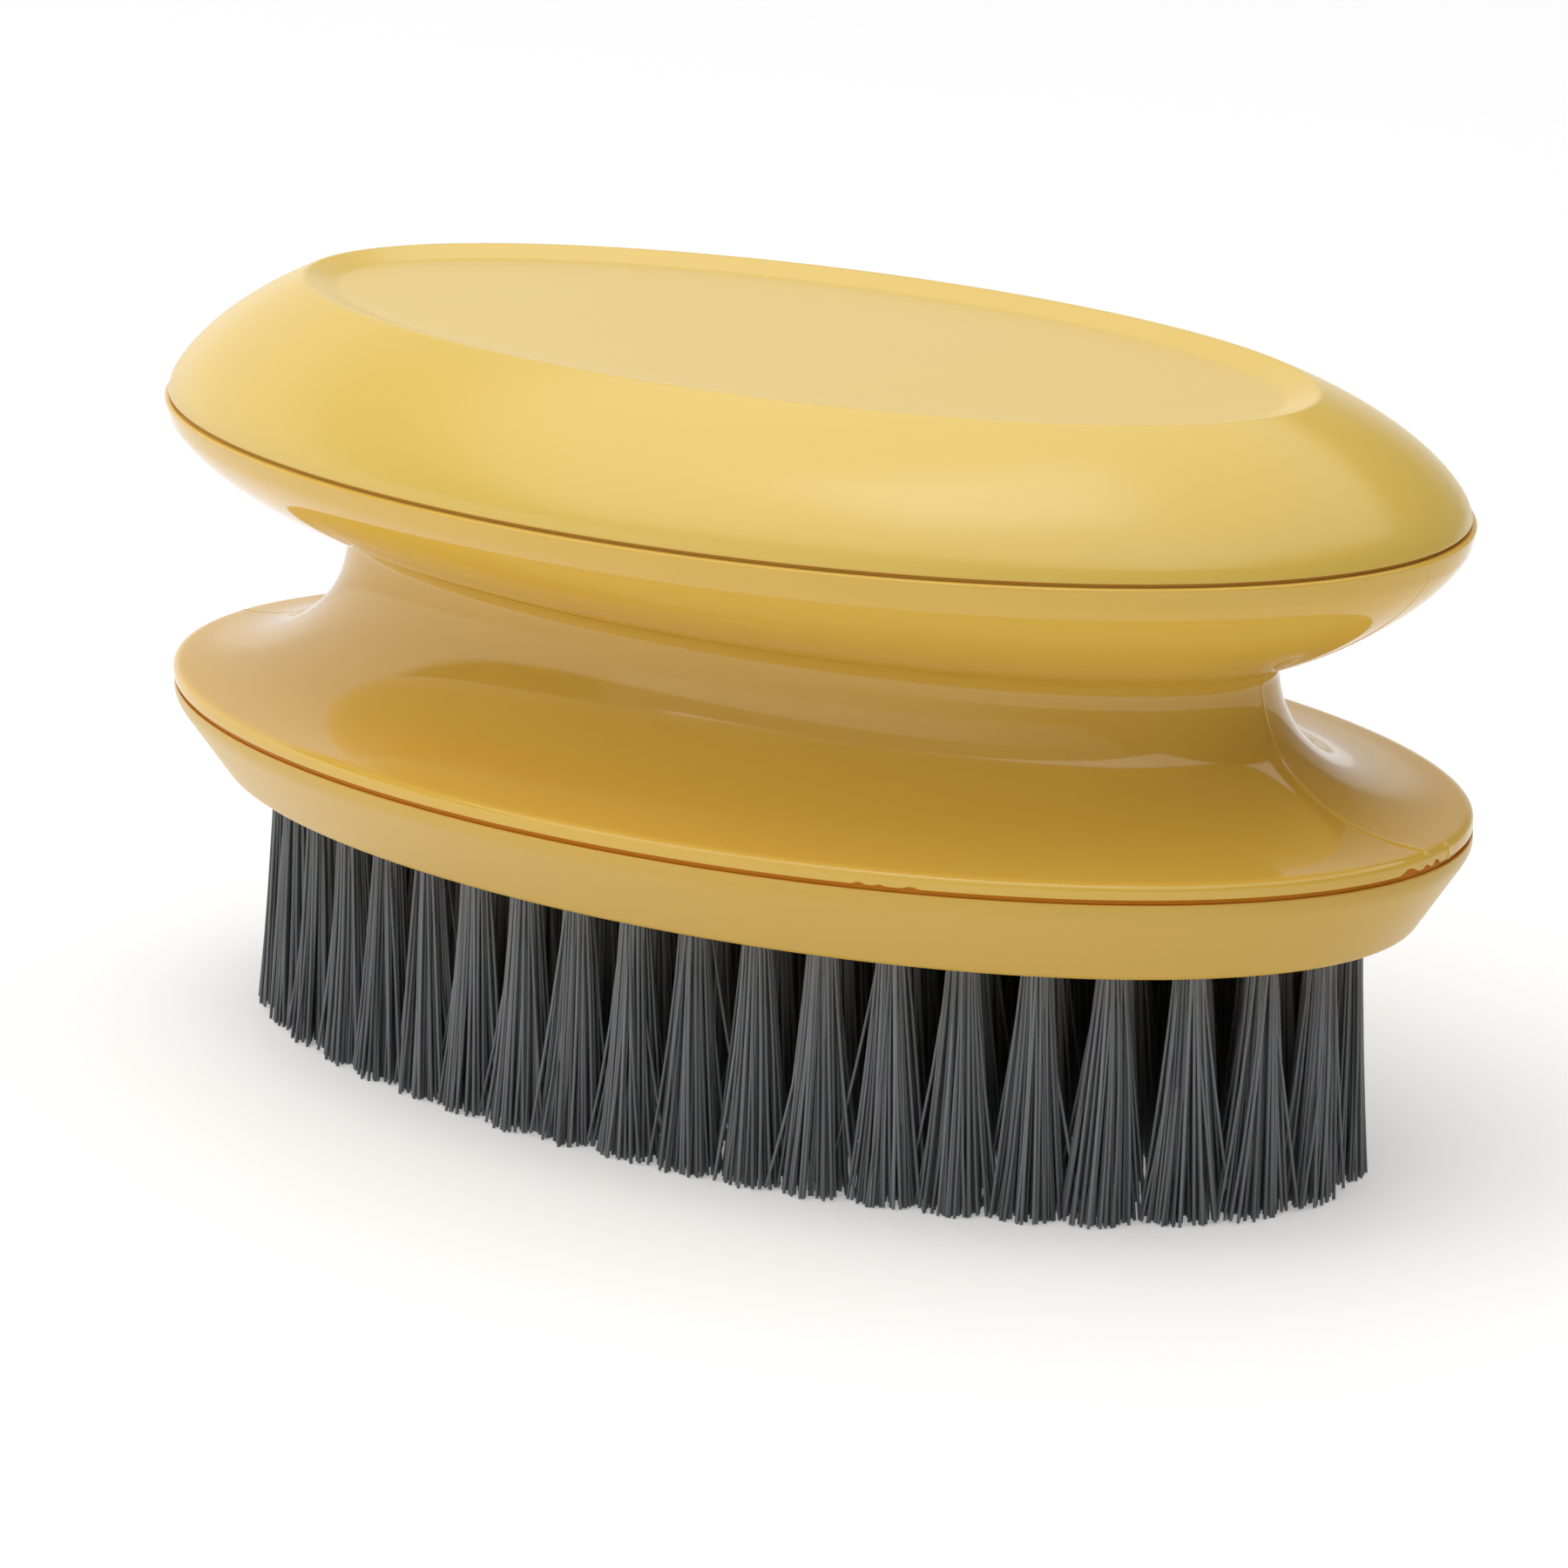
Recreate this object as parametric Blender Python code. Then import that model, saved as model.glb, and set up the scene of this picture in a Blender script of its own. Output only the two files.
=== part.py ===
"""Oval laundry brush: clipped top cover, waisted grip body, tapered bristle base and fanned tufts.

Metres, +Z up. X runs along the oval's length and Y across it. Z is 0 in the plane of the bristle tips.
"""

import math

import bmesh
import bpy
from mathutils import Matrix, Vector

# The plan oval, its facets and the fits
LENGTH = 0.130
WIDTH = 0.071
SEGMENTS = 48
FIT_GAP = 0.0003
SEAM_GAP = 0.0004
EDGE_ROUND = 0.0003
SHARP_ANGLE = math.radians(35)
ARC_SAMPLES = 720
HALF = 0.5

# Heights of the pieces, from the tips up
TRIM_LENGTH = 0.022
BASE_HEIGHT = 0.0076
BODY_HEIGHT = 0.0252
COVER_HEIGHT = 0.0100

# Top cover: a rolled dome up to a crest round a sunk oval panel, and a skirt with a clip bead
CREST_INSET = 0.0132
DOME_REACH = 0.0223
DOME_POWER = 1.5
DOME_STEPS = 9
DOME_SPREAD = 1.25
PANEL_DEPTH = 0.0009
PANEL_SLOPE = 0.0030
COVER_WALL = 0.0020
SKIRT_WALL = 0.0012
SKIRT_DEPTH = 0.0030
BEAD_HEIGHT = 0.0004
BEAD_WIDTH = 0.0008

# Grip body: a bowl over a waist that flares to the lower rim
BODY_WALL = 0.0024
BOWL_DEPTH = 0.0154
BOWL_POWER = 1.6
BOWL_STEPS = 8
WAIST_INSET = 0.0166
FLARE_POWER = 2.2
FLARE_STEPS = 9
RIM_THICKNESS = 0.0013
REBATE_WALL = 0.0036
TONGUE_INSET = 0.0032
TONGUE_WIDTH = 0.0012
TONGUE_DEPTH = 0.0016

# Bristle base: a plate, upright at its top edge and tapered below, with a blind hole for each outer tuft
BASE_LAND = 0.0011
BASE_TAPER = 0.0046
HOLE_DEPTH = 0.0050
SLICE_THICKNESS = 0.0025
SLICE_GAP = 0.0004

# Tufts: the outer row, the rows inside it and the strands of one tuft
OUTER_TUFTS = 42
OUTER_ROW_INSET = 0.0058
INNER_RINGS = 3
ROOT_DIAMETER = 0.0026
ROOT_SIDES = 8
STRAND_ROOT_WIDTH = 0.00055
STRAND_TIP_WIDTH = 0.00125
OUTER_SIDES = 4
INNER_SIDES = 3
INNER_TIP_WIDTH = 0.00105
TIP_GAP = 0.0005
TUFT_SPLAY = 0.0008
ROOT_EXTENT_SHARE = 0.62
TIP_DEPTH_SHARE = 0.80
OUTER_STRAND_SHARES = ((-0.75, 0.30), (0.0, 0.55), (0.75, 0.30), (-0.42, -0.50), (0.42, -0.50))
INNER_STRAND_SHARES = ((-0.55, 0.0), (0.55, 0.0))

# Heights and insets that follow from the sizes above
BASE_BOTTOM = TRIM_LENGTH
BASE_TOP = BASE_BOTTOM + BASE_HEIGHT
BODY_BOTTOM = BASE_TOP + SEAM_GAP
BODY_TOP = BODY_BOTTOM + BODY_HEIGHT
COVER_BOTTOM = BODY_TOP + SEAM_GAP
COVER_TOP = COVER_BOTTOM + COVER_HEIGHT
SKIRT_INSET = REBATE_WALL + FIT_GAP
SKIRT_INNER = SKIRT_INSET + SKIRT_WALL
SKIRT_BOTTOM = BODY_TOP - SKIRT_DEPTH
LEDGE_HEIGHT = SKIRT_BOTTOM - FIT_GAP
OUTER_ROW = BASE_TAPER + OUTER_ROW_INSET

# Finishes: colour, roughness
COVER_FINISH = ((0.89, 0.63, 0.19, 1.0), 0.32)
BODY_FINISH = ((0.80, 0.52, 0.13, 1.0), 0.22)
BASE_FINISH = ((0.78, 0.54, 0.17, 1.0), 0.42)
BRISTLE_FINISH = ((0.045, 0.046, 0.048, 1.0), 0.50)


def clear_scene():
    """Empties the file of what it starts with."""
    for thing in list(bpy.data.objects):
        bpy.data.objects.remove(thing, do_unlink=True)


def make_material(name, finish):
    """A plastic of one colour and roughness."""
    colour, roughness = finish
    material = bpy.data.materials.new(name)
    material.use_nodes = True
    shader = material.node_tree.nodes["Principled BSDF"]
    shader.inputs["Base Color"].default_value = colour
    shader.inputs["Roughness"].default_value = roughness
    shader.inputs["Metallic"].default_value = 0.0
    return material


def place(name, mesh, material=None):
    """Puts a mesh in the scene as a named object."""
    thing = bpy.data.objects.new(name, mesh)
    bpy.context.scene.collection.objects.link(thing)
    if material:
        mesh.materials.clear()
        mesh.materials.append(material)
        mesh.shade_smooth()
        mesh.set_sharp_from_angle(angle=SHARP_ANGLE)
    return thing


def to_mesh(shape, name):
    """Turns a bmesh with closed bodies into a mesh whose faces point out."""
    bmesh.ops.recalc_face_normals(shape, faces=shape.faces)
    mesh = bpy.data.meshes.new(name)
    shape.to_mesh(mesh)
    shape.free()
    return mesh


def cut(target, cutter):
    """Cuts a hidden shape out of an object."""
    cutter.hide_render = True
    cutter.display_type = "WIRE"
    step = target.modifiers.new(cutter.name, "BOOLEAN")
    step.operation = "DIFFERENCE"
    step.solver = "EXACT"
    step.object = cutter


def half_sizes(inset):
    """Half length and half width of the plan oval, drawn in evenly by an inset."""
    return LENGTH / 2 - inset, WIDTH / 2 - inset


def oval(inset, height):
    """Points of the plan oval at one inset and height."""
    half_length, half_width = half_sizes(inset)
    turns = [2 * math.pi * i / SEGMENTS for i in range(SEGMENTS)]
    return [Vector((half_length * math.cos(t), half_width * math.sin(t), height)) for t in turns]


def add_loop(shape, points):
    """A loop of corners at the given points."""
    return [shape.verts.new(point) for point in points]


def add_walls(shape, lower, upper):
    """Faces between two loops with as many corners."""
    for i in range(len(lower)):
        j = (i + 1) % len(lower)
        shape.faces.new((lower[i], lower[j], upper[j], upper[i]))


def add_loft(shape, profile):
    """The ovals of a profile of (inset, height) pairs with the walls between them."""
    loops = [add_loop(shape, oval(inset, height)) for inset, height in profile]
    for lower, upper in zip(loops, loops[1:]):
        add_walls(shape, lower, upper)
    return loops


def loft(name, profile, ring=False):
    """Mesh of one closed body through the ovals of a profile."""
    shape = bmesh.new()
    loops = add_loft(shape, profile)
    if ring:
        add_walls(shape, loops[-1], loops[0])
    else:
        shape.faces.new(loops[0])
        shape.faces.new(loops[-1])
    return to_mesh(shape, name)


def fill_between(shape, rims):
    """The level face inside the first rim and outside the others."""
    edges = [shape.edges.get((rim[i - 1], rim[i])) for rim in rims for i in range(len(rim))]
    bmesh.ops.triangle_fill(shape, edges=edges, use_beauty=True, normal=Vector((0, 0, -1)))


def roll(width, height, power, share):
    """Inset and rise at a share of the way round a rolled edge that starts upright."""
    turn = share * math.pi / 2
    inset = width * (1 - math.cos(turn) ** (2 / power)) if share < 1 else width
    return inset, height * math.sin(turn) ** (2 / power)


def share_of_roll(width, power, inset):
    """The share of a rolled edge at which it reaches an inset."""
    return math.acos((1 - inset / width) ** (power / 2)) / (math.pi / 2)


def parallel(profile, wall):
    """A profile's points moved square to it by a wall, to the left of its run."""
    moved = []
    for i, (inset, height) in enumerate(profile):
        before = profile[max(i - 1, 0)]
        after = profile[min(i + 1, len(profile) - 1)]
        along = Vector((after[0] - before[0], after[1] - before[1])).normalized()
        moved.append((inset - wall * along.y, height + wall * along.x))
    return moved


def between(one, other, share):
    """The point at a share of the way from one profile point to another."""
    return tuple(a + (b - a) * share for a, b in zip(one, other))


def beyond(profile, axis, limit):
    """The part of a profile whose inset (axis 0) or height (axis 1) is past a limit, from the limit on."""
    for i, (one, other) in enumerate(zip(profile, profile[1:])):
        if one[axis] <= limit < other[axis]:
            start = between(one, other, (limit - one[axis]) / (other[axis] - one[axis]))
            return [start] + profile[i + 1:]
    return profile


def dome_profile():
    """The cover's rolled outside, from its lower edge to the crest round the panel."""
    last = share_of_roll(DOME_REACH, DOME_POWER, CREST_INSET)
    stretch = COVER_HEIGHT / roll(DOME_REACH, COVER_HEIGHT, DOME_POWER, last)[1]
    shares = [last * (i / DOME_STEPS) ** DOME_SPREAD for i in range(DOME_STEPS + 1)]
    rolled = [roll(DOME_REACH, COVER_HEIGHT, DOME_POWER, share) for share in shares]
    return [(inset, COVER_BOTTOM + rise * stretch) for inset, rise in rolled]


def panel_profile():
    """The gentle slope from the crest down to the sunk panel's floor."""
    crest = (CREST_INSET, COVER_TOP)
    floor = (CREST_INSET + PANEL_SLOPE, COVER_TOP - PANEL_DEPTH)
    return [between(crest, floor, HALF), floor]


def clip_bead(inset, proud):
    """A bead round an upright wall, proud of it or sunk into it, from the top down."""
    middle = BODY_TOP - SKIRT_DEPTH / 2
    return [
        (inset, middle + BEAD_WIDTH),
        (inset - proud, middle + BEAD_WIDTH / 2),
        (inset - proud, middle - BEAD_WIDTH / 2),
        (inset, middle - BEAD_WIDTH),
    ]


def make_top_cover():
    """Hollow dome with its panel, and the skirt that clips into the body's rebate."""
    dome = dome_profile()
    ceiling = (CREST_INSET + PANEL_SLOPE, COVER_TOP - PANEL_DEPTH - COVER_WALL)
    inside = beyond(parallel(dome, -COVER_WALL), 0, SKIRT_INNER)
    hollow = [point for point in inside if point[0] < ceiling[0]]
    outside = panel_profile()[::-1] + dome[::-1]
    skirt = clip_bead(SKIRT_INSET, BEAD_HEIGHT)
    feet = [(SKIRT_INSET, SKIRT_BOTTOM), (SKIRT_INNER, SKIRT_BOTTOM)]
    profile = outside + [(SKIRT_INSET, COVER_BOTTOM)] + skirt + feet + hollow[::2] + [ceiling]
    place("top_cover", loft("top_cover", profile), make_material("cover_plastic", COVER_FINISH))


def bowl_profile():
    """The body's outside from below its top edge's round down to the crease over the waist."""
    full_roll = WIDTH / 2
    last = share_of_roll(full_roll, BOWL_POWER, WAIST_INSET)
    shares = [last * i / BOWL_STEPS for i in range(BOWL_STEPS + 1)]
    rolled = [roll(full_roll, BOWL_DEPTH, BOWL_POWER, share) for share in shares]
    return [(inset, BODY_TOP - EDGE_ROUND - drop) for inset, drop in rolled]


def flare_profile(crease_height):
    """The waist's hollow curve: a quarter oval from the crease out to the lower rim's top."""
    foot = BODY_BOTTOM + RIM_THICKNESS
    points = []
    for i in range(1, FLARE_STEPS + 1):
        turn = math.pi / 2 * i / FLARE_STEPS
        reach = math.cos(turn) ** (2 / FLARE_POWER) if i < FLARE_STEPS else 0
        drop = math.sin(turn) ** (2 / FLARE_POWER)
        inset = EDGE_ROUND + (WAIST_INSET - EDGE_ROUND) * reach
        points.append((inset, crease_height - (crease_height - foot) * drop))
    return points


def make_grip_body():
    """Open-ended hollow spool: bowl, waist and flared lower rim, a rebate on top and a tongue below."""
    bowl = bowl_profile()
    crease = bowl[-1]
    flare = flare_profile(crease[1])
    rim = [
        (0, BODY_BOTTOM + RIM_THICKNESS - EDGE_ROUND),
        (0, BODY_BOTTOM + EDGE_ROUND),
        (EDGE_ROUND, BODY_BOTTOM),
    ]
    tongue_end = TONGUE_INSET + TONGUE_WIDTH
    tongue_foot = BODY_BOTTOM - TONGUE_DEPTH
    tongue = [
        (TONGUE_INSET, BODY_BOTTOM),
        (TONGUE_INSET, tongue_foot),
        (tongue_end, tongue_foot),
        (tongue_end, BODY_BOTTOM),
    ]
    lower_hollow = beyond(parallel([crease] + flare, BODY_WALL)[::-1], 1, BODY_BOTTOM)
    lower_hollow = lower_hollow[:1] + lower_hollow[1::2]
    upper_hollow = parallel(bowl, BODY_WALL)[::-2]
    upper_hollow = [point for point in upper_hollow if point[1] < LEDGE_HEIGHT - FIT_GAP]
    ledge = (min(point[0] for point in upper_hollow) - BODY_WALL / 2, LEDGE_HEIGHT)
    rebate_bead = clip_bead(REBATE_WALL, BEAD_HEIGHT)[::-1]
    rebate = [(REBATE_WALL, LEDGE_HEIGHT)] + rebate_bead + [(REBATE_WALL, BODY_TOP)]
    top_edge = [(EDGE_ROUND, BODY_TOP)]
    profile = top_edge + bowl + flare + rim + tongue + lower_hollow + upper_hollow + [ledge] + rebate
    place("grip_body", loft("grip_body", profile, ring=True), make_material("body_plastic", BODY_FINISH))


def base_inset(height):
    """Inset of the base's tapered side at a height below its upright land."""
    return BASE_TAPER * (BASE_TOP - BASE_LAND - height) / (BASE_HEIGHT - BASE_LAND)


def even_stations(half_length, half_width, count):
    """Places and outward headings at even arc steps round an oval."""
    turns = [2 * math.pi * i / ARC_SAMPLES for i in range(ARC_SAMPLES + 1)]
    points = [Vector((half_length * math.cos(t), half_width * math.sin(t), 0)) for t in turns]
    travelled = [0.0]
    for before, after in zip(points, points[1:]):
        travelled.append(travelled[-1] + (after - before).length)
    stations = []
    step = 0
    for k in range(count):
        goal = travelled[-1] * k / count
        while travelled[step + 1] < goal:
            step += 1
        share = (goal - travelled[step]) / (travelled[step + 1] - travelled[step])
        turn = turns[step] + share * (turns[step + 1] - turns[step])
        place_there = Vector((half_length * math.cos(turn), half_width * math.sin(turn), 0))
        heading = math.atan2(half_length * math.sin(turn), half_width * math.cos(turn))
        stations.append((place_there, heading - math.pi / 2))
    return stations


def perimeter(half_length, half_width):
    """Length round an oval."""
    points = [place_there for place_there, _ in even_stations(half_length, half_width, SEGMENTS)]
    return sum((b - a).length for a, b in zip(points, points[1:] + points[:1]))


def tuft_pitch():
    """Step from tuft to tuft along the outer row."""
    return perimeter(*half_sizes(OUTER_ROW)) / OUTER_TUFTS


def row_step():
    """Even distance between rows, so that the row after the last ring lies on the centre line."""
    return half_sizes(OUTER_ROW)[1] / (INNER_RINGS + 1)


def polygon(centre, width, sides):
    """A level polygon of the given width about a centre, one flat side towards -Y."""
    radius = width / 2 / math.cos(math.pi / sides)
    turns = [2 * math.pi * i / sides - math.pi / 2 + math.pi / sides for i in range(sides)]
    return [centre + Vector((radius * math.cos(t), radius * math.sin(t), 0)) for t in turns]


def add_strands(shape, frame, shares, sides, tip_width, splay):
    """The fanned strands of one tuft, open at the roots; returns the rims of the roots."""
    root_reach = ROOT_DIAMETER / 2 * ROOT_EXTENT_SHARE
    widest = max(abs(across) for across, _ in OUTER_STRAND_SHARES)
    tip_reach = ((tuft_pitch() - TIP_GAP - STRAND_TIP_WIDTH) / 2) / widest
    rims = []
    for across, outward in shares:
        root = Vector((root_reach * across / widest, root_reach * outward / widest, 0))
        tip = Vector((tip_reach * across, tip_reach * TIP_DEPTH_SHARE * outward + splay, -TRIM_LENGTH))
        upper = add_loop(shape, [frame @ point for point in polygon(root, STRAND_ROOT_WIDTH, sides)])
        lower = add_loop(shape, [frame @ point for point in polygon(tip, tip_width, sides)])
        add_walls(shape, lower, upper)
        shape.faces.new(lower)
        rims.append(upper)
    return rims


def make_tuft_mesh():
    """One outer tuft about the middle of its mouth: its root plug with the strands grown out of it."""
    shape = bmesh.new()
    outline = polygon(Vector((0, 0, 0)), ROOT_DIAMETER, ROOT_SIDES)
    mouth = add_loop(shape, outline)
    end = add_loop(shape, [point + Vector((0, 0, HOLE_DEPTH - FIT_GAP)) for point in outline])
    add_walls(shape, mouth, end)
    shape.faces.new(end)
    level = Matrix.Identity(4)
    roots = add_strands(shape, level, OUTER_STRAND_SHARES, OUTER_SIDES, STRAND_TIP_WIDTH, TUFT_SPLAY)
    fill_between(shape, [mouth] + roots)
    return to_mesh(shape, "tuft_outer")


def make_outer_row(material):
    """The outer tufts, each in its own hole; returns the cutter that makes the holes."""
    mesh = make_tuft_mesh()
    holes = bmesh.new()
    hole_width = ROOT_DIAMETER + 2 * FIT_GAP
    for number, (spot, heading) in enumerate(even_stations(*half_sizes(OUTER_ROW), OUTER_TUFTS), 1):
        frame = Matrix.Translation(spot + Vector((0, 0, BASE_BOTTOM))) @ Matrix.Rotation(heading, 4, "Z")
        tuft = place(f"tuft_outer_{number:02d}", mesh, material)
        tuft.matrix_world = frame
        below = polygon(Vector((0, 0, -HOLE_DEPTH)), hole_width, ROOT_SIDES)
        foot = add_loop(holes, [frame @ point for point in below])
        roof = add_loop(holes, [frame @ (point + Vector((0, 0, 2 * HOLE_DEPTH))) for point in below])
        add_walls(holes, foot, roof)
        holes.faces.new(foot)
        holes.faces.new(roof)
    return place("tuft_holes", to_mesh(holes, "tuft_holes"))


def make_inner_rows(material):
    """Rows inside the outer one, each grown out of its own slice of backing, down to the centre line."""
    step = row_step()
    slice_top = BASE_BOTTOM + SLICE_THICKNESS
    for row in range(1, INNER_RINGS + 2):
        middle = OUTER_ROW + row * step
        outer = middle - (step - SLICE_GAP) / 2
        inner = middle + (step - SLICE_GAP) / 2
        shape = bmesh.new()
        if row <= INNER_RINGS:
            name = f"tuft_ring_{row + 1:02d}"
            backing = [(outer, BASE_BOTTOM), (outer, slice_top), (inner, slice_top), (inner, BASE_BOTTOM)]
            loops = add_loft(shape, backing)
            rims = [loops[0], loops[-1]]
            splay = TUFT_SPLAY
            count = round(perimeter(*half_sizes(middle)) / tuft_pitch())
            stations = even_stations(*half_sizes(middle), count)
        else:
            name = "tuft_row_centre"
            loops = add_loft(shape, [(outer, BASE_BOTTOM), (outer, slice_top)])
            rims = [loops[0]]
            shape.faces.new(loops[-1])
            splay = 0
            reach = half_sizes(middle)[0]
            count = round(2 * reach / tuft_pitch())
            stations = [(Vector((reach * (2 * k / count - 1), 0, 0)), 0) for k in range(count + 1)]
        for spot, heading in stations:
            frame = Matrix.Translation(spot + Vector((0, 0, BASE_BOTTOM))) @ Matrix.Rotation(heading, 4, "Z")
            rims += add_strands(shape, frame, INNER_STRAND_SHARES, INNER_SIDES, INNER_TIP_WIDTH, splay)
        fill_between(shape, rims)
        place(name, to_mesh(shape, name), material)


def make_bristle_base(holes):
    """Tapered plate with the tongue's groove, a pocket for the slices and the outer tufts' holes."""
    groove_outer = TONGUE_INSET - FIT_GAP
    groove_inner = TONGUE_INSET + TONGUE_WIDTH + FIT_GAP
    groove_floor = BODY_BOTTOM - TONGUE_DEPTH - FIT_GAP
    pocket = OUTER_ROW + row_step() / 2 + SLICE_GAP / 2 - FIT_GAP
    pocket_roof = BASE_BOTTOM + SLICE_THICKNESS + FIT_GAP
    profile = [
        (groove_inner, BASE_TOP),
        (groove_inner, groove_floor),
        (groove_outer, groove_floor),
        (groove_outer, BASE_TOP),
        (EDGE_ROUND, BASE_TOP),
        (0, BASE_TOP - EDGE_ROUND),
        (0, BASE_TOP - BASE_LAND),
        (base_inset(BASE_BOTTOM + EDGE_ROUND), BASE_BOTTOM + EDGE_ROUND),
        (BASE_TAPER + EDGE_ROUND, BASE_BOTTOM),
        (pocket, BASE_BOTTOM),
        (pocket, pocket_roof),
    ]
    plate = loft("bristle_base", profile)
    cut(place("bristle_base", plate, make_material("base_plastic", BASE_FINISH)), holes)


def main():
    clear_scene()
    bristle = make_material("bristle_nylon", BRISTLE_FINISH)
    make_top_cover()
    make_grip_body()
    make_bristle_base(make_outer_row(bristle))
    make_inner_rows(bristle)


main()
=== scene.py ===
"""Looks of the oval laundry brush: smooth shells, fine nylon filaments, studio floor, light and camera.

Shapes are in millimetres until they become meshes, and the floor, the lamps and the camera are in metres.
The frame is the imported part's: X along the oval, Y across it, Z up from the plane of the bristle tips.
A profile is a list of points, each an inset from the plan oval and a height.
A turn is an angle round the oval in radians, 0 at the right end.
"""

import math

import bpy
import numpy as np
from mathutils import Matrix, Vector


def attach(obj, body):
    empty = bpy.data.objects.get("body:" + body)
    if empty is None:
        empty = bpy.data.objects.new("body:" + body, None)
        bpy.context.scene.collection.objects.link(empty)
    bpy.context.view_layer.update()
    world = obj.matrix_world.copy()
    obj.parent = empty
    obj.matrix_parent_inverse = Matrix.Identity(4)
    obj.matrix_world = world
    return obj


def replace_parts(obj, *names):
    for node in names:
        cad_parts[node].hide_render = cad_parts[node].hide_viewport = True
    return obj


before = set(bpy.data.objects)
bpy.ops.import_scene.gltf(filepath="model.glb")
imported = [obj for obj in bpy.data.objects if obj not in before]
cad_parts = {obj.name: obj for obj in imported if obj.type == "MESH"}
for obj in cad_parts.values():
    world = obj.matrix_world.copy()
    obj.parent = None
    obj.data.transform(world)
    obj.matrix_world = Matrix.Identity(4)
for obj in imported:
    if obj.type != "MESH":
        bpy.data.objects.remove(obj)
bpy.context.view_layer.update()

MM = 0.001
# A hair's breadth, which keeps two surfaces or edges out of one plane
HAIR = 0.02
# The most that a rounded corner takes of the side next to it
CORNER_SHARE = 0.49

# The plan oval and the heights of the three shells
HALF_LENGTH, HALF_WIDTH = 65.0, 35.5
BASE_BOTTOM, BASE_TOP = 22.0, 29.6
BODY_BOTTOM, BODY_TOP = 30.0, 55.3
COVER_BOTTOM, COVER_TOP = 55.6, 65.6

# Cover: its dome rises from a set-back edge to the crest, which rings the sunk panel
COVER_STEP, COVER_EDGE_ROUND = 0.36, 0.22
DOME_REACH, DOME_POWER, DOME_STEPS, DOME_CROWDING = 22.3, 1.5, 48, 1.3
EDGE_CLEAR, CREST_CLEAR = 0.3, 0.5
CREST_INSET, CREST_ROUND = 13.2, 0.4
PANEL_INSET, PANEL_FLOOR, PANEL_ROUND, PANEL_FLAT = 16.2, 64.7, 0.5, 22.0

# Body: a bowl narrows to the crease, below which a flare widens to the lower rim. The bowl's first points
# make way for the rounded top edge.
BODY_STEPS, BOWL_FIRST = 40, 5
BOWL_TOP, BOWL_DEPTH, BOWL_POWER = BODY_TOP - 0.4, 15.4, 1.6
TOP_LEDGE, TOP_EDGE_DROP, TOP_EDGE_ROUND = 0.12, 0.06, 0.26
CREASE_INSET, CREASE_HEIGHT, CREASE_ROUND = 16.6, 43.06, 1.1
FLARE_INSET, FLARE_FOOT, FLARE_POWER = 0.35, 31.3, 2.2
RIM_START, RIM_ROUND, RIM_EDGE_ROUND = 1.6, 0.9, 0.25

# Base: a short upright land above a taper to the flat underside
BASE_LAND, BASE_TAPER, BASE_FLAT = 1.1, 4.6, 12.0
BASE_EDGE_ROUND, LAND_ROUND, TAPER_ROUND = 0.22, 0.9, 0.55
LAND_LEAN = 0.05

# Insides, drawn through every third or fourth point, and hidden joints: skirt and bead in the rebate, tongue
# in the groove
COVER_WALL, BODY_WALL, HOLLOW_RIM, HOLLOW_CLEAR = 2.0, 2.4, 8.2, 0.1
COVER_SKIP, BODY_SKIP = 3, 4
JOINT_PLAY = 0.3
SKIRT_FACE, SKIRT_BACK, SKIRT_FOOT = 3.9, 5.1, 52.2
BEAD_DEPTH, BEAD_HEIGHTS = 0.4, (52.9, 53.3, 54.1, 54.5)
TONGUE_FACE, TONGUE_BACK, TONGUE_FOOT = 3.2, 4.4, 28.4

# Seams: their depth, and for each its two edges, the inset it starts at and the painted shade of its lower
# half, the upper half taking the full painted shade
SEAM_DEPTH, LIP_DEPTH, SEAM_BACK = 0.3, 0.5, 1.4
SEAMS = (
    (COVER_BOTTOM, BODY_TOP, COVER_STEP + 0.03, 0.1),
    (BODY_BOTTOM, BASE_TOP, 0.13, 0.9),
)

# Stations round the oval, with finer ones beside the moulding line, the nicks and the flake
TURNS = 400
FINE_STEPS = (0.0012, 0.0025, 0.004, 0.006, 0.009, 0.013)
NICK_STEPS = (-1.6, -1.4, -0.9, -0.4, 0.0, 0.4, 0.9, 1.4, 1.6)
SHARP_EDGE = 32

# Moulding line: a ridge on a faint step down both ends, fainter on the bowl and at the left end
RIDGE_HEIGHT, RIDGE_WIDTH = 0.13, 0.16
STEP_HEIGHT, STEP_WIDTH, STEP_FADE = 0.05, 0.12, 7
LINE_START, LINE_PAST_CREASE, LINE_CLEAR = 0.1, 0.6, 0.3
BOWL_RIDGE, LEFT_RIDGE = 0.35, 0.3

# Nicks in the lower rim's edge, each a turn, a width in turns and a depth, and the flake beside them
NICKS = (
    (-0.065, 0.022, 0.40),
    (-0.005, 0.012, 0.25),
    (0.035, 0.012, 0.40),
    (-1.065, 0.007, 0.16),
    (-1.035, 0.006, 0.12),
    (-0.99, 0.009, 0.16),
)
NICK_FLANK, NICK_REACH, NICK_TOP = 1.4, 1.2, BODY_BOTTOM + 0.45
FLAKE_TURN, FLAKE_WIDTH, FLAKE_RISE = 0.088, 0.006, 0.15
FLAKE_REACH, FLAKE_FOOT, FLAKE_TOP = 0.9, BODY_BOTTOM + 0.05, BODY_BOTTOM + 1.2

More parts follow.
